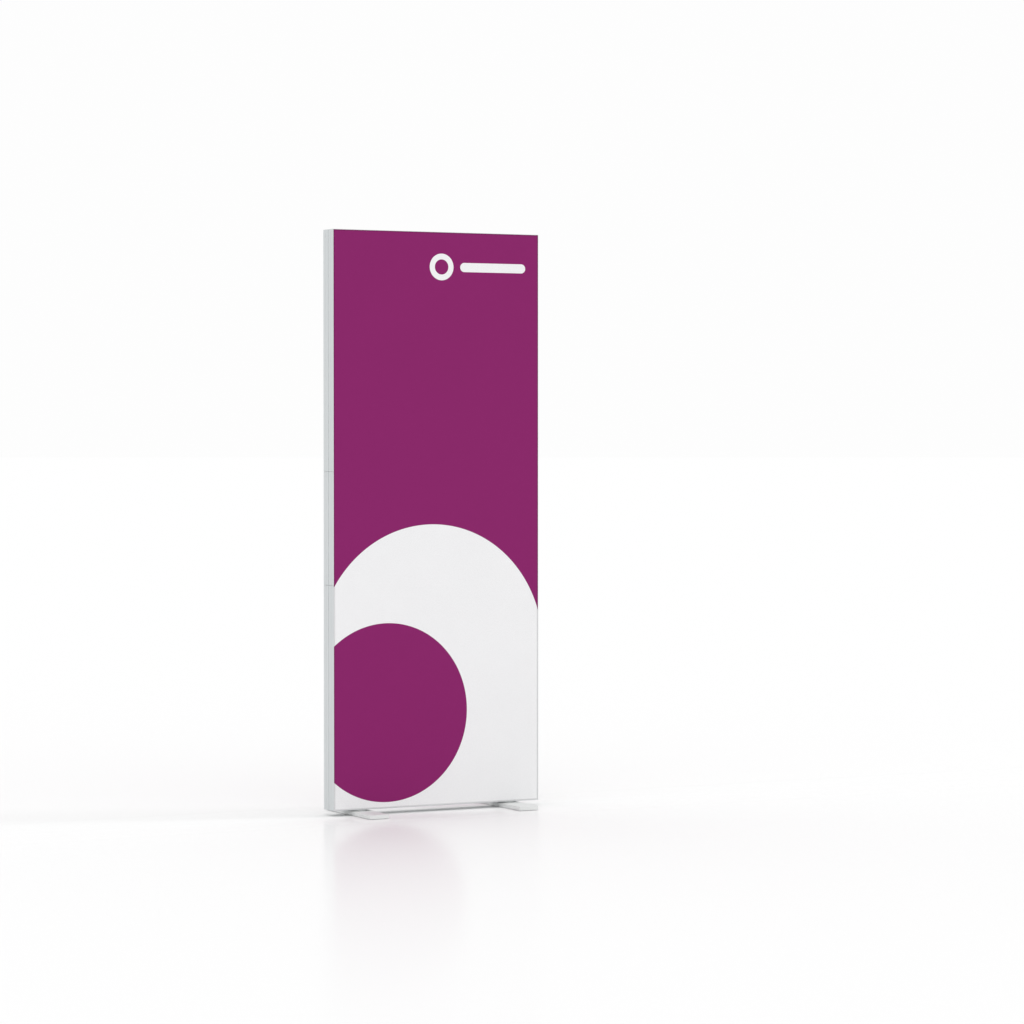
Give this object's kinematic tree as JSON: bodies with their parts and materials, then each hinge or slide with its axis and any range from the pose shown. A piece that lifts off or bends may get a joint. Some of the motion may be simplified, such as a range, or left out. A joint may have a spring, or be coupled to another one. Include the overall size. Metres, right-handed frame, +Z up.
{
  "type": "fabric display stand",
  "caption": "Free-standing box-section aluminium frame with printed fabric stretched over front and back, inner light bars and flat swivelling feet.",
  "frame": {"origin": "on the floor, under the middle of the frame", "axes": "+Z up, +X to the viewer's right, -Y out of the front fabric"},
  "size_m": [1, 0.44, 2.525],
  "materials": {
    "anodised_aluminium": "satin, lightly die-lined along its length",
    "cast_aluminium": "matt cast",
    "zinc_plated_steel": "bright zinc",
    "printed_polyester": "matt knitted polyester, dye printed purple with plain white shapes",
    "silicone": "satin, milky",
    "led_board": "white board with clear lenses",
    "driver_case": "satin white",
    "black_nylon": "moulded, fine texture",
    "rocker_plastic": "glossy moulded",
    "lead_sheath": "smooth sheath",
    "mains_sheath": "smooth sheath",
    "foot_paint": "fine satin powder coat",
    "base_steel": "dark primer",
    "pad_rubber": "matt"
  },
  "bodies": {
    "frame": {"corner_bracket_bottom_left": "cast_aluminium", "corner_bracket_bottom_right": "cast_aluminium", "corner_bracket_top_left": "cast_aluminium", "corner_bracket_top_right": "cast_aluminium", "driver": "driver_case", "driver_bracket": "zinc_plated_steel", "edge_strip_front_bottom": "silicone", "edge_strip_front_left": "silicone", "edge_strip_front_right": "silicone", "edge_strip_front_top": "silicone", "edge_strip_rear_bottom": "silicone", "edge_strip_rear_left": "silicone", "edge_strip_rear_right": "silicone", "edge_strip_rear_top": "silicone", "fabric_front": "printed_polyester", "fabric_rear": "printed_polyester", "foot_left_nut_plate": "zinc_plated_steel", "foot_left_pivot_bolt": "zinc_plated_steel", "foot_left_washer": "black_nylon", "foot_right_nut_plate": "zinc_plated_steel", "foot_right_pivot_bolt": "zinc_plated_steel", "foot_right_washer": "black_nylon", "inlet_housing": "black_nylon", "lead_left": "lead_sheath", "lead_right": "lead_sheath", "led_bar_left_lower": "led_board", "led_bar_left_middle": "led_board", "led_bar_left_upper": "led_board", "led_bar_right_lower": "led_board", "led_bar_right_middle": "led_board", "led_bar_right_upper": "led_board", "mains_lead": "mains_sheath", "post_left_lower": "anodised_aluminium", "post_left_middle": "anodised_aluminium", "post_left_upper": "anodised_aluminium", "post_right_lower": "anodised_aluminium", "post_right_middle": "anodised_aluminium", "post_right_upper": "anodised_aluminium", "rail_bottom": "anodised_aluminium", "rail_top": "anodised_aluminium", "splice_left_lower": "cast_aluminium", "splice_left_upper": "cast_aluminium", "splice_right_lower": "cast_aluminium", "splice_right_upper": "cast_aluminium", "splice_screw_left_lower": "zinc_plated_steel", "splice_screw_left_upper": "zinc_plated_steel", "splice_screw_right_lower": "zinc_plated_steel", "splice_screw_right_upper": "zinc_plated_steel"},
    "left_foot": {"foot_left_cover": "foot_paint", "foot_left_base": "base_steel", "foot_left_pad_front": "pad_rubber", "foot_left_pad_rear": "pad_rubber"},
    "right_foot": {"foot_right_cover": "foot_paint", "foot_right_base": "base_steel", "foot_right_pad_front": "pad_rubber", "foot_right_pad_rear": "pad_rubber"},
    "rocker": {"rocker_switch": "rocker_plastic"}
  },
  "joints": [
    {"name": "left_foot_swivel", "type": "hinge", "parent": "frame", "child": "left_foot", "pos_m": [-0.363, 0, 0.019], "axis": [0, 0, 1], "continuous": true},
    {"name": "right_foot_swivel", "type": "hinge", "parent": "frame", "child": "right_foot", "pos_m": [0.363, 0, 0.019], "axis": [0, 0, 1], "continuous": true},
    {"name": "rocker_tilt", "type": "hinge", "parent": "frame", "child": "rocker", "pos_m": [0.4908, 0, 0.1835], "axis": [0, 0, 1], "range_deg": [0, 14]}
  ]
}
